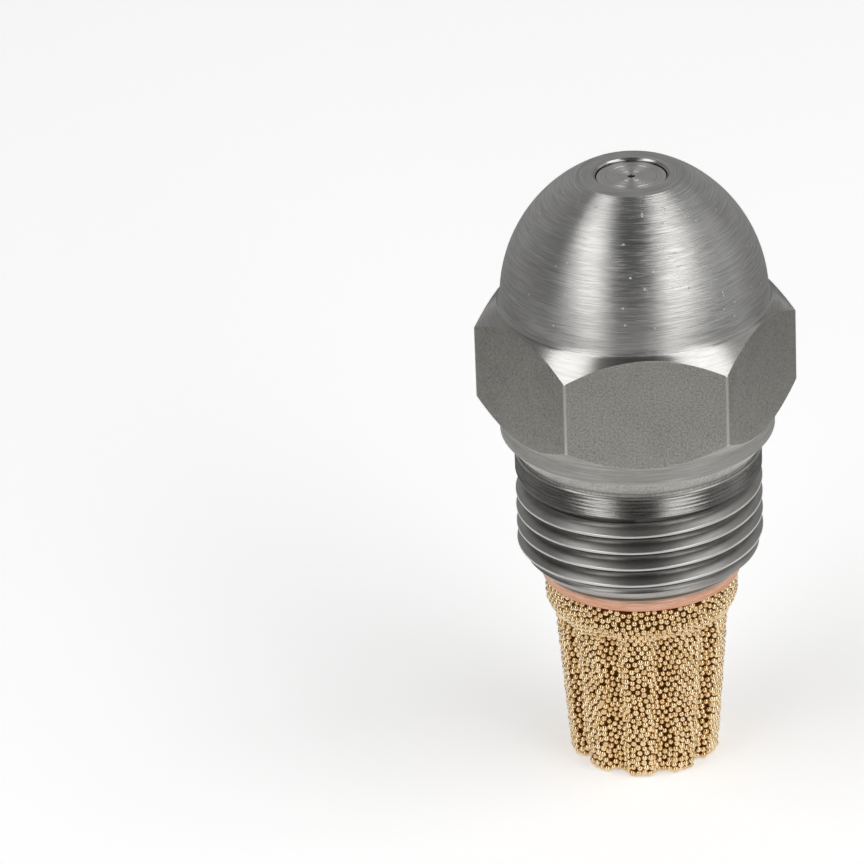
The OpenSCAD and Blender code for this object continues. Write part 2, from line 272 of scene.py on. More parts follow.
row = body.turn([(side_r, arc_low + ARC_EDGE), (side_r - pull_r, arc_low + pull_z)], DRAWN, row)
row = body.turn([(side_r - slant, arc_low - slant), (side_r - 2 * slant, arc_low - 2 * slant)], COLLAR, row)

collar = softened([(HEX_FLAT_R - COLLAR_INSET, HEX_Z - COLLAR_INSET), (COLLAR_R, COLLAR_TOP_Z),
                   (COLLAR_R, COLLAR_Z), (UNDERCUT_R, CONE_Z), (UNDERCUT_R, UNDERCUT_Z),
                   (LAND_R, UNDERCUT_Z)], EDGE_ROUND)
row = body.turn(collar[1:-1], COLLAR, row)
row = body.turn([(LAND_R - LAND_EDGE, UNDERCUT_Z), (LAND_R, UNDERCUT_Z - LAND_EDGE)], BURNISHED, row)
land = []
for i, deep in enumerate(LAND_RINGS):
    z = UNDERCUT_Z - 2 * LAND_EDGE - i * LAND_FEED
    land += [(LAND_R, z), (LAND_R - deep, z - LAND_TOOTH)]
row = body.turn(land + [(LAND_R, LAND_Z + EDGE_ROUND), (LAND_R - LAND_FOOT, LAND_Z)], LAND, row)

# Both threads' down-facing strips take UNDER, a finish of painted shade.
holder_form, holder_shift = thread_form(LAND_R, HOLDER_PITCH, HOLDER_CREST, 2)
end, runout = body.thread(
    holder_form, HOLDER_PITCH, HOLDER_START + holder_shift, BODY_Z, LAND_Z,
    lambda z: np.minimum(END_R + z - BODY_Z, RUNOUT_R + LAND_Z - z), CUT, UNDER)
body.join(row, runout, CUT)
row = body.turn([(END_R - EDGE_ROUND, BODY_Z), (MOUTH_R + EDGE_ROUND, BODY_Z),
                 (MOUTH_R, BODY_Z + EDGE_ROUND), (MOUTH_R, MOUTH_Z)], CUT, end)
tap_form, tap_shift = thread_form(TAP_R, TAP_PITCH, TAP_CREST, 1)
mouth, relief = body.thread(
    tap_form, TAP_PITCH, tap_shift, MOUTH_Z, RELIEF_Z, lambda z: TAP_R + 0 * z, CUT, UNDER)
body.join(row, mouth, CUT)
row = body.turn([(MOUTH_R, RELIEF_Z), (MOUTH_R, RELIEF_TOP_Z), (INSERT_BORE_R, RELIEF_TOP_Z)], CUT, relief)
body.join(row, seat, CUT)


class Shade:
    """One output in a material's node tree. Sums on it add Math nodes to the same tree."""

    def __init__(self, tree, socket=None):
        self.tree, self.socket = tree, socket

    def node(self, kind, settings=None, sockets=None, out=0):
        """Adds a node, sets it, then gives its sockets their values or links."""
        made = self.tree.nodes.new(kind)
        for name, value in (settings or {}).items():
            setattr(made, name, value)
        for name, value in (sockets or {}).items():
            if isinstance(value, Shade):
                self.tree.links.new(value.socket, made.inputs[name])
            else:
                made.inputs[name].default_value = value
        return Shade(self.tree, made.outputs[out] if made.outputs else None)

    def other(self, out):
        """Another output of the same node."""
        return Shade(self.tree, self.socket.node.outputs[out])

    def sum(self, operation, first, second=0.0):
        return self.node("ShaderNodeMath", {"operation": operation}, {0: first, 1: second})

    def __add__(self, value): return self.sum("ADD", self, value)
    def __radd__(self, value): return self.sum("ADD", value, self)
    def __sub__(self, value): return self.sum("SUBTRACT", self, value)
    def __rsub__(self, value): return self.sum("SUBTRACT", value, self)
    def __mul__(self, value): return self.sum("MULTIPLY", self, value)
    def __rmul__(self, value): return self.sum("MULTIPLY", value, self)
    def __pow__(self, value): return self.sum("POWER", self, value)
    def __lt__(self, value): return self.sum("LESS_THAN", self, value)
    def __gt__(self, value): return self.sum("GREATER_THAN", self, value)
    def __abs__(self): return self.sum("ABSOLUTE", self)

    def ramp(self, low, high, start=0.0, end=1.0):
        """The value taken smoothly from low..high to start..end."""
        return self.node("ShaderNodeMapRange", {"interpolation_type": "SMOOTHSTEP"},
                         {"Value": self, "From Min": low, "From Max": high, "To Min": start, "To Max": end})

    def tint(self, dark, light):
        """A colour between two, by this value."""
        return self.node("ShaderNodeMix", {"data_type": "RGBA"},
                         {0: self, 6: (*dark, 1), 7: (*light, 1)}, 2)

    def over(self, under, colour):
        """A colour laid over another one, by this value."""
        return self.node("ShaderNodeMix", {"data_type": "RGBA"}, {0: self, 6: under, 7: (*colour, 1)}, 2)

    def noise(self, scale, detail=2.0, roughness=0.5):
        """Noise at this place, from 0 to 1."""
        return self.node("ShaderNodeTexNoise", {}, {
            "Vector": self, "Scale": scale, "Detail": detail, "Roughness": roughness})


def new_finish(name):
    """An empty material, and its piece's place in millimetres as a whole and as x, y and z."""
    material = bpy.data.materials.new(name)
    material.use_nodes = True
    material.node_tree.nodes.clear()
    metres = Shade(material.node_tree).node("ShaderNodeTexCoord", out="Object")
    place = metres.node("ShaderNodeVectorMath", {"operation": "SCALE"}, {0: metres, "Scale": 1000.0})
    x = place.node("ShaderNodeSeparateXYZ", {}, {0: place})
    return material, place, x, x.other("Y"), x.other("Z")


def drawn_out(x, y, along, around_scale, along_scale):
    """A place stretched round the axis, for marks that a lathe tool leaves."""
    return x.node("ShaderNodeCombineXYZ", {}, {
        0: x * around_scale, 1: y * around_scale, 2: along * along_scale})


def metal(colour, roughness, height, depth, grain=0.0, grain_turn=0.0, film=0.0):
    """Joins a metal's values to a shader; depth is how deep its marks are, in micrometres.
    The film is the share of clear oil that is left on it."""
    bump = height.node("ShaderNodeBump", {}, {"Strength": 1.0, "Distance": depth * 1e-6, "Height": height})
    shader = colour.node("ShaderNodeBsdfPrincipled", {}, {
        "Base Color": colour, "Metallic": 1.0, "Roughness": roughness, "Normal": bump,
        "Anisotropic": grain, "Anisotropic Rotation": grain_turn, "Coat Weight": film})
    shader.node("ShaderNodeOutputMaterial", {}, {"Surface": shader})


def turned_steel():
    """Fine lathe rings on bright steel, with a few dents and hair scratches from handling, paled as a painted
    glint.
    """
    material, place, x, y, z = new_finish("turned_steel")
    along = z - (x * x + y * y) ** 0.5
    fine = drawn_out(x, y, along, 0.5, 20.0).noise(1.0, 1.0).ramp(0.3, 0.7)
    coarse = drawn_out(x, y, along, 0.4, 6.0).noise(1.0, 2.0, 0.6)
    rings = fine * 0.7 + coarse * 0.3
    dashes = drawn_out(x, y, along, 0.75, 17.0).noise(1.0, 2.0, 0.6).ramp(0.56, 0.74)
    cells = place.node("ShaderNodeTexVoronoi", {}, {"Vector": place, "Scale": 1.6})
    picked = cells.node("ShaderNodeSeparateColor", {}, {0: cells.other("Color")}) < 0.6
    dents = cells.ramp(0.05, 0.12, 1.0, 0.0) * picked
    scratched = place.noise(0.6, 0.0).ramp(0.6, 0.66)
    hair = abs(place.noise(0.33, 1.0) - 0.5).ramp(0.0, 0.0035, 1.0, 0.0) * scratched
    marks = dents + hair * 0.2
    cloud = place.noise(0.45, 3.0)
    tone = rings.ramp(0.25, 0.75) * 0.55 + cloud * 0.3 + dashes * 0.35
    # Painted glint: the dents and scratches are given a paler colour than the steel round them.
    metal(marks.over(tone.tint((0.42, 0.416, 0.402), (0.73, 0.724, 0.708)), (0.95, 0.945, 0.93)),
          0.34 + rings * 0.05 + cloud * 0.04 + marks * 0.2 + dashes * 0.04,
          rings + dashes * 0.3 - marks * 2.0, 10.0, 0.95, 0.25)
    return material


def spray_face_steel():
    """The flat ring round the recess, faced with a fine feed that leaves it duller than the dome."""
    material, place, x, y, z = new_finish("spray_face_steel")
    fine = drawn_out(x, y, (x * x + y * y) ** 0.5, 0.4, 9.0).noise(1.0, 2.0, 0.6)
    cloud = place.noise(0.8, 3.0)
    tone = fine.ramp(0.3, 0.7) * 0.6 + cloud * 0.4
    metal(tone.tint((0.36, 0.356, 0.344), (0.62, 0.615, 0.6)), 0.42 + fine * 0.08, fine, 9.0, 0.3, 0.25)
    return material


def burnished_steel():
    """The shoulder above the flats and the small bevels, rubbed to a gloss by the forming tool."""
    material, place, x, y, z = new_finish("burnished_steel")
    wave = drawn_out(x, y, z, 0.7, 3.0).noise(1.0, 2.0)
    cloud = place.noise(0.9, 3.0)
    scuff = drawn_out(x, y, z, 0.5, 9.0).noise(1.0, 3.0, 0.7).ramp(0.35, 0.65)
    metal((scuff * 0.4 + cloud * 0.6).tint((0.33, 0.324, 0.312), (0.47, 0.464, 0.449)),
          0.17 + wave * 0.06 + cloud * 0.05, wave + scuff * 0.05, 4.0)
    return material


def drawn_steel():
    """The satin skin of drawn bar: even, grainy and finely pitted, with a painted highlight along its
    corners.
    """
    material, place, x, y, z = new_finish("drawn_steel")
    grain = place.noise(9.0, 3.0, 0.7)
    cloud = place.noise(0.5, 3.0)
    pits = place.noise(4.5, 1.0).ramp(0.64, 0.72)
    # Painted highlight: a paler colour along the hexagon's corners.
    corner = ((x * x + y * y) ** 0.5).ramp(9.165, 9.215)
    tone = grain.ramp(0.3, 0.7) * 0.7 + cloud * 0.3 - pits * 0.4
    skin = tone.tint((0.24, 0.234, 0.215), (0.58, 0.567, 0.525))
    metal(corner.over(skin, (0.74, 0.73, 0.7)), 0.42 + grain * 0.12 - corner * 0.15, grain - pits * 0.8, 12.0)
    return material


def collar_steel():
    """The collar, finely turned, and the cone under it, left frosted by a worn tool."""
    material, place, x, y, z = new_finish("collar_steel")
    fine = drawn_out(x, y, z, 0.35, 9.0).noise(1.0, 3.0, 0.7)
    frost = drawn_out(x, y, z, 7.0, 0.6).noise(1.0, 2.0, 0.6)
    sparkle = place.noise(15.0, 2.0, 0.7)
    cone = z.ramp(21.16, 21.1)
    cloud = place.noise(0.8, 3.0)
    tone = fine.ramp(0.3, 0.7) * 0.6 + cloud * 0.4 - cone * 0.3
    turned = tone.tint((0.33, 0.323, 0.306), (0.61, 0.598, 0.568))
    bright = cone * (frost * 0.85 + sparkle * 0.15).ramp(0.2, 0.7)
    metal(bright.over(turned, (0.66, 0.65, 0.62)), 0.36 + fine * 0.08 + cone * 0.1,
          fine * 0.5 + cone * (sparkle * 0.3 + frost) * 0.3, 14.0, 0.4, 0.25)
    return material


def ringed_steel():
    """The land over the thread, cut with a coarse feed, so that its rings glint on both sides."""
    material, place, x, y, z = new_finish("ringed_steel")
    fine = drawn_out(x, y, z, 0.5, 14.0).noise(1.0, 2.0, 0.65)
    cloud = place.noise(0.8, 3.0)
    tone = fine.ramp(0.3, 0.7) * 0.6 + cloud * 0.4
    metal(tone.tint((0.16, 0.157, 0.15), (0.36, 0.353, 0.338)), 0.22 + fine * 0.1, fine, 8.0, 0.4, 0.25)
    return material


def cut_steel():
    """A single-point thread, with painted shade that greys the flanks towards the root, and a painted
    highlight on the crests.
    """
    material, place, x, y, z = new_finish("cut_steel")
    radius = (x * x + y * y) ** 0.5
    fine = drawn_out(x, y, radius * 1.2 + z, 1.0, 9.0).noise(1.0, 2.0, 0.6)
    grain = place.noise(11.0, 2.0, 0.6)
    cloud = place.noise(0.8, 3.0)
    root_r, flank_r, crest_r = 6.58, 6.98, 7.11
    # Painted shade: the tone falls towards the thread's root, but not on the end chamfer by the body's end.
    rise = radius.ramp(root_r, flank_r) + z.ramp(BODY_Z + 0.9, BODY_Z + 1.4, 1.0, 0.0)
    tone = fine.ramp(0.3, 0.7) * 0.12 + grain * 0.16 + cloud * 0.12 + rise * 0.6
    # Painted highlight: the crests are given a paler colour.
    crest = radius.ramp(crest_r, crest_r + 0.03)
    metal(crest.over(tone.tint((0.12, 0.117, 0.111), (0.5, 0.492, 0.473)), (0.66, 0.651, 0.63)),
          0.34 + grain * 0.1 - crest * 0.08, fine * 0.5 + grain * 0.5, 5.0, 0.6, 0.25)
    return material


def painted_shade_steel():
    """Painted shade: dark colour for the thread's down-facing strips and the orifice's bevel and bore, where
    shade falls.
    """
    material, place, x, y, z = new_finish("painted_shade_steel")
    fine = drawn_out(x, y, z, 0.4, 12.0).noise(1.0, 3.0, 0.65)
    film = place.noise(0.7, 3.0)
    metal((fine * 0.4 + film * 0.6).tint((0.03, 0.028, 0.025), (0.16, 0.154, 0.145)),
          0.3 + film * 0.2, fine, 8.0, 0.5, 0.25)
    return material


nozzle_body = body.piece("nozzle_body_steel", [
    turned_steel(), burnished_steel(), drawn_steel(), collar_steel(),
    ringed_steel(), cut_steel(), painted_shade_steel(), spray_face_steel()])
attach(nozzle_body, "nozzle")
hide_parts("nozzle_body")


# Orifice plate: a small hardened steel disc, ground and faced, whose centre holds the spray hole.
# Its flange is clamped under the nozzle's lip, so only its face shows in the recess.
PLATE_Z, PLATE_FACE_Z, PLATE_R, BOSS_R = 34.68, 36.77, 3.359, 2.0
CHAMBER_R, ORIFICE_R, ORIFICE_BEVEL = 1.9, 0.15, 0.06
PLATE_RINGS = [(1.74, 0.01), (1.45, 0.035), (1.05, 0.01), (0.66, 0.03), (0.42, 0.01)]
PLATE_RING_HALF, PLATE_ROUND = 0.03, 0.04
FACED, BORED = 0, 1

plate = Skin(even_columns)
orifice_z = PLATE_Z + CHAMBER_R - ORIFICE_R
plate_face = [(BOSS_R, PLATE_FACE_Z)]
for r, deep in PLATE_RINGS:
    plate_face += [(r + PLATE_RING_HALF, PLATE_FACE_Z), (r, PLATE_FACE_Z - deep),
                   (r - PLATE_RING_HALF, PLATE_FACE_Z)]
plate_outline = softened([
    (CHAMBER_R, PLATE_Z), (PLATE_R, PLATE_Z), (PLATE_R, SEAT_Z), (BOSS_R, SEAT_Z), *plate_face,
    (ORIFICE_R + ORIFICE_BEVEL, PLATE_FACE_Z), (ORIFICE_R, PLATE_FACE_Z - ORIFICE_BEVEL),
    (ORIFICE_R, orifice_z)], PLATE_ROUND, closed=True)
# The orifice's bevel and bore take BORED, a finish of painted shade.
row = plate_ring = plate.ring(*plate_outline[0])
for r, z in plate_outline[1:]:
    row = plate.turn([(r, z)], FACED if r > ORIFICE_R + ORIFICE_BEVEL else BORED, row)
plate.join(row, plate_ring, BORED)


def faced_steel():
    """Steel faced on a lathe, so that its rings throw glints across the disc."""
    material, place, x, y, z = new_finish("faced_steel")
    radius = (x * x + y * y) ** 0.5
    fine = drawn_out(x, y, radius - z, 0.1, 14.0).noise(1.0, 2.0, 0.6)
    cloud = place.noise(1.2, 2.0)
    metal((fine * 0.5 + cloud * 0.5).tint((0.5, 0.495, 0.48), (0.66, 0.655, 0.64)),
          0.4 + fine * 0.06 - radius.ramp(1.78, 1.84) * 0.22, fine, 5.0, 0.8, 0.25)
    return material


orifice_plate = plate.piece("orifice_plate_steel", [faced_steel(), painted_shade_steel()])
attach(orifice_plate, "nozzle")
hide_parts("orifice_plate")


# Swirl distributor: a turned steel cone with angled slots, which spins the oil behind the plate.
# It is the CAD solid itself, closed in the bore, with the finish of small turned parts.
def small_turned_steel():
    """Bright turned steel with an oily film that darkens it in patches."""
    material, place, x, y, z = new_finish("small_turned_steel")
    fine = drawn_out(x, y, z, 0.2, 12.0).noise(1.0, 2.0, 0.6)
    film = place.noise(0.9, 3.0)
    metal((fine * 0.4 + film * 0.6).tint((0.42, 0.415, 0.4), (0.6, 0.595, 0.58)),
          0.24 + film * 0.16, fine, 4.0)
    return material


insert_steel = small_turned_steel()
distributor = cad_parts["swirl_distributor"]
distributor.data.materials.clear()
distributor.data.materials.append(insert_steel)


# Lock screw: a hollow slotted screw of the same steel, which clamps the distributor.
# It is also the CAD solid, hidden in the tapped hole until the nipple is taken out.
lock_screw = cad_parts["lock_screw"]
lock_screw.data.materials.clear()
lock_screw.data.materials.append(insert_steel)


# Sealing washer: a ring punched from soft copper sheet, squeezed between thread end and filter.
# Its rim keeps the drag lines of the punch and has dulled a little in the air.
WASHER_Z, WASHER_TOP_Z, WASHER_R, WASHER_HOLE_R, WASHER_ROUND = 11.8, 12.5, 5.8, 4.25, 0.13

washer = Skin(even_columns)
washer_outline = softened([
    (WASHER_HOLE_R, WASHER_Z), (WASHER_R, WASHER_Z), (WASHER_R, WASHER_TOP_Z), (WASHER_HOLE_R, WASHER_TOP_Z)],
    WASHER_ROUND, 4, closed=True)
washer_ring = washer.ring(*washer_outline[0])
washer.join(washer.turn(washer_outline[1:], 0, washer_ring), washer_ring, 0)


def soft_copper():
    """Rolled copper, pinkish where it is fresh and browner where it has been handled, and darker towards its
    lower edge.
    """
    material, place, x, y, z = new_finish("soft_copper")
    drag = drawn_out(x, y, z, 0.8, 10.0).noise(1.0, 3.0, 0.65)
    cloud = place.noise(0.9, 3.0)
    # The tone falls towards the washer's lower edge.
    tone = drag.ramp(0.3, 0.7) * 0.6 + cloud * 0.4 - z.ramp(11.85, 12.1, 0.35, 0.0)
    metal(tone.tint((0.62, 0.3, 0.18), (0.92, 0.58, 0.43)), 0.34 + drag * 0.16, drag, 14.0)
    return material


sealing_washer = washer.piece("sealing_washer_copper", [soft_copper()])
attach(sealing_washer, "washer")
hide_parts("sealing_washer")


# Filter nipple: a turned brass bush with an outside thread and an oil hole through it.
# Its plain lower end is pressed into the filter, and its thread holds the filter to the nozzle.
NIPPLE_R, NIPPLE_Z, NIPPLE_TOP_Z = 3.88, 12.8, 18.2
SPIGOT_R, SPIGOT_Z, NIPPLE_HOLE_R = 3.1, 8.2, 1.7
NIPPLE_BEVEL, SPIGOT_HOLE_BEVEL = 0.15, 0.1

nipple = Skin(even_columns)
nipple_end_r = NIPPLE_R - THREAD_DEPTH * TAP_PITCH
nipple_form, nipple_shift = thread_form(NIPPLE_R, TAP_PITCH, TAP_CREST, 2)
nipple_low, nipple_high = nipple.thread(
    nipple_form, TAP_PITCH, nipple_shift, NIPPLE_Z, NIPPLE_TOP_Z,
    lambda z: np.minimum(nipple_end_r + z - NIPPLE_Z, nipple_end_r + NIPPLE_TOP_Z - z), 0, 0)
row = nipple.turn([
    (SPIGOT_R, NIPPLE_Z), (SPIGOT_R, SPIGOT_Z + NIPPLE_BEVEL), (SPIGOT_R - NIPPLE_BEVEL, SPIGOT_Z),
    (NIPPLE_HOLE_R + SPIGOT_HOLE_BEVEL, SPIGOT_Z), (NIPPLE_HOLE_R, SPIGOT_Z + SPIGOT_HOLE_BEVEL),
    (NIPPLE_HOLE_R, NIPPLE_TOP_Z - NIPPLE_BEVEL), (NIPPLE_HOLE_R + NIPPLE_BEVEL, NIPPLE_TOP_Z)],
    0, nipple_low)
nipple.join(row, nipple_high, 0)


def turned_brass():
    """Free-cutting brass from the lathe, with fine turning marks and cloudy patches in its tone."""
    material, place, x, y, z = new_finish("turned_brass")
    fine = drawn_out(x, y, z, 0.2, 12.0).noise(1.0, 3.0, 0.6)
    cloud = place.noise(0.7, 3.0)
    metal((fine * 0.4 + cloud * 0.6).tint((0.62, 0.44, 0.18), (0.86, 0.68, 0.36)),
          0.22 + fine * 0.16, fine, 4.0, 0.4, 0.25)
    return material


filter_nipple = nipple.piece("filter_nipple_brass", [turned_brass()])
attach(filter_nipple, "filter")
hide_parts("filter_nipple")


# Sintered filter: a closed, fluted cup of bronze beads, fused in a mould so that oil can pass.
# A dark core stands for the depth between the beads, and the beads lie half sunk in its skin.
BEAD_R, BEAD_SPREAD, BEAD_PITCH, BEAD_SEED, SHAKES = 0.194, 0.1, 0.396, 7, 80
POUR_SHARE, POUR_DENSITY = 0.82, 4e8
SKIN = BEAD_R * (1 + BEAD_SPREAD)
FILTER_H, BAND_Z, NECK_Z = 11.8, 10.3, 9.4
MOUTH_RIM_R, NECK_R, TIP_R, TIP_CHAMFER = 5.65, 5.15, 4.45, 0.25
FLUTES, FLUTE_TURN, FLUTE_DEPTH, FLUTE_R = 10, radians(28), 0.55, 0.6
FLUTE_TOP_Z, FLUTE_RUNOUT, FLUTE_LIFT = 9.85, 0.5, 0.9
SOCKET_R, HOLLOW_R, FLOOR_Z = 3.11, 2.3, 1.8
CORE_COLUMNS, CORE_INSET, RIM_INSET = 220, 0.04, 0.1

core = Skin([FLUTE_TURN + radians(360 * i / CORE_COLUMNS) for i in range(CORE_COLUMNS)])
taper = (NECK_R - TIP_R) / NECK_Z
flute_axis_r = TIP_R - FLUTE_DEPTH + FLUTE_R
to_flute = (core.angles - FLUTE_TURN + pi / FLUTES) % (tau / FLUTES) - pi / FLUTES


def core_radius(z):
    """Radius of the beads' bed at a height, round the flutes."""
    rim = np.interp(z, [0, TIP_CHAMFER, NECK_Z, BAND_Z],
                    [TIP_R - TIP_CHAMFER, TIP_R, NECK_R, MOUTH_RIM_R]) - SKIN
    rise = max(0.0, (z - FLUTE_TOP_Z + FLUTE_RUNOUT) / FLUTE_RUNOUT)
    axis = flute_axis_r + taper * z + FLUTE_LIFT * rise ** 2
    reach = FLUTE_R + SKIN
    inside = reach ** 2 - (axis * np.sin(to_flute)) ** 2
    wall = axis * np.cos(to_flute) - np.sqrt(np.maximum(inside, 0))
    return np.where(inside > 0, np.minimum(rim, wall), rim)


OUTSIDE, INSIDE = 0, 1
top_z = FILTER_H - SKIN
heights = np.concatenate([[SKIN, SKIN + 0.1, TIP_CHAMFER + SKIN], np.linspace(0.7, 8.9, 34),
                          np.linspace(9.05, 10.5, 12), np.linspace(10.7, top_z, 5)])
base_r = core_radius(SKIN) - CORE_INSET
row = base = core.ring(base_r, SKIN)
for share in (0.85, 0.65, 0.4, 0.2):
    ring = core.ring(base_r * share, SKIN)
    core.join(row, ring, OUTSIDE)
    row = ring
core.join(row, core.pole(SKIN), OUTSIDE)
row = base
for z in heights[1:]:
    row = core.turn([(core_radius(z), z)], OUTSIDE, row)
row = core.turn([(MOUTH_RIM_R - SKIN - RIM_INSET, FILTER_H), (SOCKET_R, FILTER_H), (SOCKET_R, SPIGOT_Z),
                 (HOLLOW_R, SPIGOT_Z), (HOLLOW_R, FLOOR_Z)], INSIDE, row)
core.join(row, core.pole(FLOOR_Z), INSIDE)


def bead_bronze():
    """Tin bronze beads: each a little paler or browner than the next, with a sintered sheen."""
    material, place, x, y, z = new_finish("bead_bronze")
    shade = place.node("ShaderNodeAttribute", {"attribute_name": "bead_tint"}, out="Fac")
    grain = place.noise(16.0, 2.0)
    cloud = place.noise(0.5, 2.0)
    tone = shade * 0.6 + cloud * 0.25 + grain * 0.15
    metal(tone.tint((0.64, 0.445, 0.21), (0.95, 0.76, 0.5)), 0.08 + shade * 0.08 + grain * 0.06, grain, 3.0,
          film=0.5)
    return material


def pore_shadow():
    """The brown depth between the beads."""
    material, place, x, y, z = new_finish("pore_shadow")
    grain = place.noise(9.0, 3.0)
    metal(grain.tint((0.04, 0.013, 0.001), (0.15, 0.053, 0.006)), 0.55 + grain * 0.2, grain, 30.0)
    return material


shadow_of_pores = pore_shadow()
sintered_core = core.piece("sintered_filter_core", [shadow_of_pores, shadow_of_pores], 50)
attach(sintered_core, "filter")
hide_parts("sintered_filter")


def bead_tree(material):
    """Pours beads over the core's outside, shakes them apart, and keeps those between two heights."""
    tree = bpy.data.node_groups.new("sintered_beads", "GeometryNodeTree")
    sockets = {"Core": "NodeSocketGeometry", "Bead radius": "NodeSocketFloat", "Spread": "NodeSocketFloat",
               "Pitch": "NodeSocketFloat", "Shakes": "NodeSocketInt", "From height": "NodeSocketFloat",
               "To height": "NodeSocketFloat", "Seed": "NodeSocketInt"}
    for name, kind in sockets.items():
        tree.interface.new_socket(name, in_out="INPUT", socket_type=kind)
    tree.interface.new_socket("Beads", in_out="OUTPUT", socket_type="NodeSocketGeometry")

    def add(kind, settings=None, links=None):
        made = tree.nodes.new(kind)
        for name, value in (settings or {}).items():
            setattr(made, name, value)
        for name, value in (links or {}).items():
            if isinstance(value, bpy.types.NodeSocket):
                tree.links.new(value, made.inputs[name])
            else:
                made.inputs[name].default_value = value
        return made

    given = add("NodeGroupInput").outputs
    smaller = add("ShaderNodeMath", {"operation": "SUBTRACT"}, {0: 1.0, 1: given["Spread"]})
    larger = add("ShaderNodeMath", {"operation": "ADD"}, {0: 1.0, 1: given["Spread"]})
    place = add("GeometryNodeInputPosition").outputs[0]
    height = add("ShaderNodeSeparateXYZ", {}, {0: place}).outputs["Z"]
    above = add("FunctionNodeCompare", {"operation": "GREATER_EQUAL"}, {0: height, 1: given["From height"]})
    below = add("FunctionNodeCompare", {"operation": "LESS_THAN"}, {0: height, 1: given["To height"]})
    chosen = add("FunctionNodeBooleanMath", {"operation": "AND"}, {0: above.outputs[0], 1: below.outputs[0]})
    poured = add("ShaderNodeMath", {"operation": "MULTIPLY"}, {0: given["Pitch"], 1: POUR_SHARE})
    spots = add("GeometryNodeDistributePointsOnFaces", {"distribute_method": "POISSON"}, {
        "Mesh": given["Core"], "Distance Min": poured.outputs[0], "Density Max": POUR_DENSITY,
        "Seed": given["Seed"]})
    shake, shaken = tree.nodes.new("GeometryNodeRepeatInput"), tree.nodes.new("GeometryNodeRepeatOutput")
    shake.pair_with_output(shaken)
    tree.links.new(given["Shakes"], shake.inputs["Iterations"])
    tree.links.new(spots.outputs["Points"], shake.inputs["Geometry"])
    # Each shake parts the beads into lots anew, so that in time a bead is pushed by all its neighbours.
    lot = add("FunctionNodeRandomValue", {"data_type": "INT"}, {
        4: 0, 5: 2, "Seed": shake.outputs["Iteration"]})
    next_bead = add("GeometryNodeIndexOfNearest", {}, {"Group ID": lot.outputs[2]}).outputs["Index"]
    next_place = add("GeometryNodeFieldAtIndex", {"data_type": "FLOAT_VECTOR", "domain": "POINT"}, {
        "Index": next_bead, "Value": place}).outputs[0]
    apart = add("ShaderNodeVectorMath", {"operation": "SUBTRACT"}, {0: place, 1: next_place}).outputs[0]
    away = add("ShaderNodeVectorMath", {"operation": "NORMALIZE"}, {0: apart}).outputs[0]
    distance = add("ShaderNodeVectorMath", {"operation": "LENGTH"}, {0: apart}).outputs["Value"]
    short = add("ShaderNodeMath", {"operation": "SUBTRACT", "use_clamp": True}, {
        0: given["Pitch"], 1: distance})
    push = add("ShaderNodeMath", {"operation": "MULTIPLY"}, {0: short.outputs[0], 1: 0.5})
    step = add("ShaderNodeVectorMath", {"operation": "SCALE"}, {0: away, "Scale": push.outputs[0]})
    moved = add("ShaderNodeVectorMath", {"operation": "ADD"}, {0: place, 1: step.outputs[0]})
    landed = add("GeometryNodeProximity", {"target_element": "FACES"}, {
        "Geometry": given["Core"], "Sample Position": moved.outputs[0]})
    settled = add("GeometryNodeSetPosition", {}, {
        "Geometry": shake.outputs["Geometry"], "Position": landed.outputs["Position"]})
    tree.links.new(settled.outputs[0], shaken.inputs["Geometry"])
    ball = add("GeometryNodeMeshIcoSphere", {}, {"Radius": given["Bead radius"], "Subdivisions": 2})
    smooth = add("GeometryNodeSetShadeSmooth", {}, {"Geometry": ball.outputs["Mesh"]})
    size = add("FunctionNodeRandomValue", {"data_type": "FLOAT"}, {
        2: smaller.outputs[0], 3: larger.outputs[0], "Seed": 1})
    roll = add("FunctionNodeRandomValue", {"data_type": "FLOAT_VECTOR"}, {1: (tau, tau, tau), "Seed": 2})
    tint = add("FunctionNodeRandomValue", {"data_type": "FLOAT"}, {2: 0.0, 3: 1.0, "Seed": 3})
    beads = add("GeometryNodeInstanceOnPoints", {}, {
        "Points": shaken.outputs["Geometry"], "Selection": chosen.outputs[0], "Instance": smooth.outputs[0],
        "Rotation": roll.outputs[0], "Scale": size.outputs[1]})
    tinted = add("GeometryNodeStoreNamedAttribute", {"data_type": "FLOAT", "domain": "INSTANCE"}, {
        "Geometry": beads.outputs[0], "Name": "bead_tint", "Value": tint.outputs[1]})
    real = add("GeometryNodeRealizeInstances", {}, {0: tinted.outputs[0]})
    coated = add("GeometryNodeSetMaterial", {}, {"Geometry": real.outputs[0], "Material": material})
    add("NodeGroupOutput", {}, {"Beads": coated.outputs[0]})
    return tree


def bead_bed():
    """A copy of the core's outside alone, for the beads to lie on."""
    mesh = sintered_core.data.copy()
    shell = bmesh.new()
    shell.from_mesh(mesh)
    inner = [f for f in shell.faces if f.material_index == INSIDE]
    bmesh.ops.delete(shell, geom=inner, context="FACES")
    shell.to_mesh(mesh)
    shell.free()
    return mesh


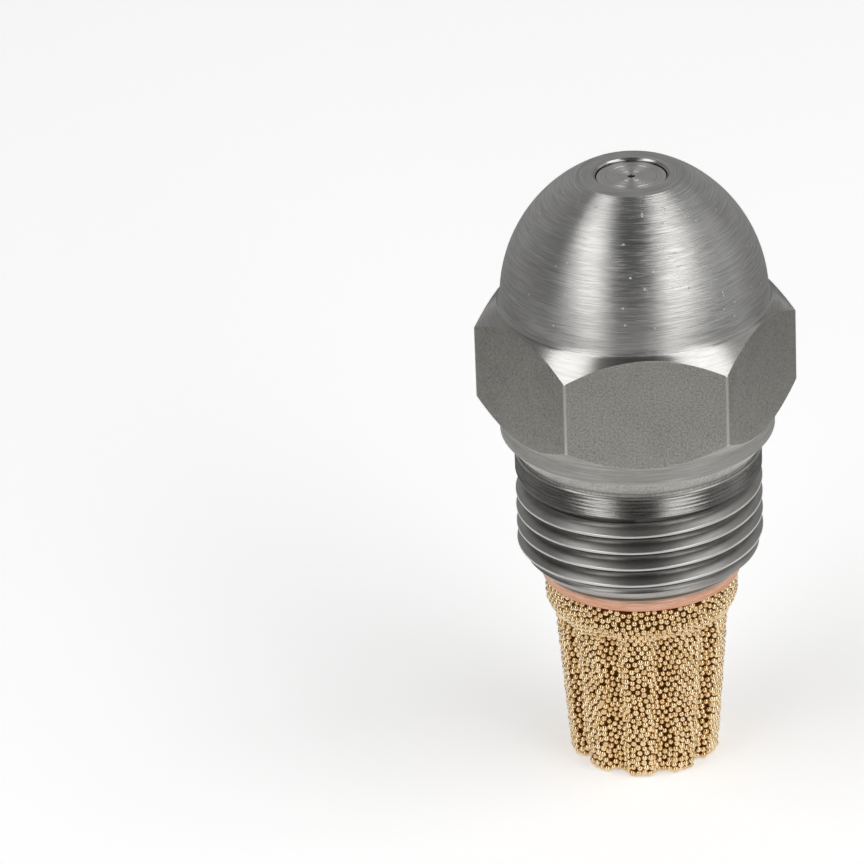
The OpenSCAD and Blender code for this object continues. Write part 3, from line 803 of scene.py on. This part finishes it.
beads_of_bronze = bead_bronze()
beads_tree = bead_tree(beads_of_bronze)
bead_zones = {"sintered_beads_low": (-1.0, 4.0), "sintered_beads_middle": (4.0, 7.6),
              "sintered_beads_top": (7.6, 20.0)}
for name, (low, high) in bead_zones.items():
    bed = bpy.data.objects.new(name + "_bed", bead_bed())
    bpy.context.scene.collection.objects.link(bed)
    scatter = bed.modifiers.new("beads", "NODES")
    scatter.node_group = beads_tree
    values = {"Bead radius": BEAD_R * MM, "Spread": BEAD_SPREAD, "Pitch": BEAD_PITCH * MM, "Shakes": SHAKES,
              "From height": low * MM, "To height": high * MM, "Seed": BEAD_SEED}
    for item in beads_tree.interface.items_tree:
        if item.in_out == "INPUT" and item.name in values:
            scatter[item.identifier] = values[item.name]
    solved = bed.evaluated_get(bpy.context.evaluated_depsgraph_get())
    beads_mesh = bpy.data.meshes.new_from_object(solved)
    beads_mesh.name = name
    beads = bpy.data.objects.new(name, beads_mesh)
    bpy.context.scene.collection.objects.link(beads)
    bpy.data.objects.remove(bed)
    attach(beads, "filter")
    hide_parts("sintered_filter")


# Studio: a pale floor under soft light from two tall panels, one on each side of the camera.
# A grey sheet round the foot is seen only in reflections, as the dull table under a photo tent.
SET_SIDES = 96
FLOOR_IN_R, FLOOR_R, FLOOR_TONE, FLOOR_LIFT = 0.0001, 3.0, 0.88, 0.36
SHEET_IN_R, SHEET_OUT_R, SHEET_Z, SHEET_TONE = 0.044, 0.35, 0.0003, 0.34
ROOM_FRONT, ROOM_BACK = 0.07, 0.38
PANELS = {
    "left_panel": {"low": (-31, 3), "high": (-106, 61), "width": 0.265, "glow": 2.4},
    "right_panel": {"low": (23, 3), "high": (98, 61), "width": 0.315, "glow": 2.4},
    "right_fill": {"low": (78, 5), "high": (118, 45), "width": 0.4, "glow": 0.38}}
PANEL_DISTANCE = 0.6


def plain_finish(name, tone, lift=0.0):
    """A dull, even colour, lifted a little where the lens or a reflection sees it."""
    material = bpy.data.materials.new(name)
    material.use_nodes = True
    material.node_tree.nodes.clear()
    camera_ray = Shade(material.node_tree).node("ShaderNodeLightPath", out="Is Camera Ray")
    seen = camera_ray + camera_ray.other("Is Glossy Ray") + camera_ray.other("Is Transmission Ray")
    shader = seen.node("ShaderNodeBsdfPrincipled", {}, {
        "Base Color": (tone, tone, tone, 1), "Roughness": 0.9, "Specular IOR Level": 0.0,
        "Emission Color": seen * lift, "Emission Strength": 1.0})
    shader.node("ShaderNodeOutputMaterial", {}, {"Surface": shader})
    return material


def flat_ring(name, inner, outer, z, material):
    """A flat part of the set. It goes down with the filter, on which the nozzle stands."""
    angles = np.linspace(0, tau, SET_SIDES + 1)[:-1]
    rings = [np.stack([r * np.cos(angles), r * np.sin(angles), 0 * angles + z], 1) for r in (inner, outer)]
    ahead = [(i + 1) % SET_SIDES for i in range(SET_SIDES)]
    faces = [(i, SET_SIDES + i, SET_SIDES + ahead[i], ahead[i]) for i in range(SET_SIDES)]
    mesh = bpy.data.meshes.new(name)
    mesh.from_pydata(np.concatenate(rings), [], faces)
    mesh.materials.append(material)
    made = bpy.data.objects.new(name, mesh)
    bpy.context.scene.collection.objects.link(made)
    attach(made, "filter")
    return made


flat_ring("floor", FLOOR_IN_R, FLOOR_R, 0.0, plain_finish("pale_floor", FLOOR_TONE, FLOOR_LIFT))
sheet = flat_ring("grey_sheet", SHEET_IN_R, SHEET_OUT_R, SHEET_Z, plain_finish("grey_sheet", SHEET_TONE))
sheet.visible_camera = sheet.visible_diffuse = sheet.visible_shadow = False
sheet.visible_transmission = sheet.visible_volume_scatter = False

world = bpy.data.worlds.new("studio")
world.use_nodes = True
world.node_tree.nodes.clear()
outwards = Shade(world.node_tree).node("ShaderNodeTexCoord", out="Generated")
rearwards = outwards.node("ShaderNodeSeparateXYZ", {}, {0: outwards}, "Y")
room = rearwards.node("ShaderNodeBackground", {}, {"Color": rearwards.ramp(-0.5, 0.9, ROOM_FRONT, ROOM_BACK)})
room.node("ShaderNodeOutputWorld", {}, {"Surface": room})
bpy.context.scene.world = world


def heading(azimuth, elevation):
    """A direction out from the object; azimuth 0 is towards the camera."""
    across, up = radians(azimuth), radians(elevation)
    return Vector((sin(across) * cos(up), -cos(across) * cos(up), sin(up)))


centre = (cad_box[0] + cad_box[1]) / 2
for name, panel in PANELS.items():
    low, high = heading(*panel["low"]), heading(*panel["high"])
    towards, head = (low + high).normalized(), (high - low).normalized()
    lamp = bpy.data.lights.new(name, "AREA")
    lamp.shape = "RECTANGLE"
    lamp.size, lamp.size_y = panel["width"], 2 * PANEL_DISTANCE * tan(low.angle(high) / 2)
    lamp.energy = panel["glow"] * pi * lamp.size * lamp.size_y
    stand = bpy.data.objects.new(name, lamp)
    stand.matrix_world = Matrix((head.cross(towards), head, towards)).transposed().to_4x4()
    stand.location = centre + towards * PANEL_DISTANCE
    bpy.context.scene.collection.objects.link(stand)


# Camera: a long lens, a little above the object and rolled slightly, as the photograph was taken.
FRAME_PX, FOCAL_PX, SENSOR = 864, 6975.3, 36.0
CAMERA_DISTANCE = 0.4
AIM_Z, AIM_PX = 25.58 * MM, (635.7, 353.0)
ELEVATION, ROLL, SWING = radians(27.0), radians(-2.32), radians(-1.81)

ahead = Vector((0, cos(ELEVATION), -sin(ELEVATION)))
level, upright = Vector((1, 0, 0)), Vector((0, sin(ELEVATION), cos(ELEVATION)))
right = cos(ROLL) * level + sin(ROLL) * upright
top = cos(ROLL) * upright - sin(ROLL) * level
shift_x, shift_y = ((p - FRAME_PX / 2) / FOCAL_PX * CAMERA_DISTANCE for p in AIM_PX)
eye = Vector((0, 0, AIM_Z)) - (shift_x * right - shift_y * top + CAMERA_DISTANCE * ahead)
pose = Matrix((right, top, -ahead)).transposed().to_4x4()
pose.translation = eye
lens = bpy.data.cameras.new("camera")
lens.sensor_width = SENSOR
lens.lens = FOCAL_PX / FRAME_PX * SENSOR
lens.clip_start, lens.clip_end = 0.01, 20.0
camera = bpy.data.objects.new("camera", lens)
bpy.context.scene.collection.objects.link(camera)
camera.matrix_world = Matrix.Rotation(SWING, 4, "Z") @ pose
bpy.context.scene.camera = camera
bpy.context.scene.view_settings.view_transform = "Standard"
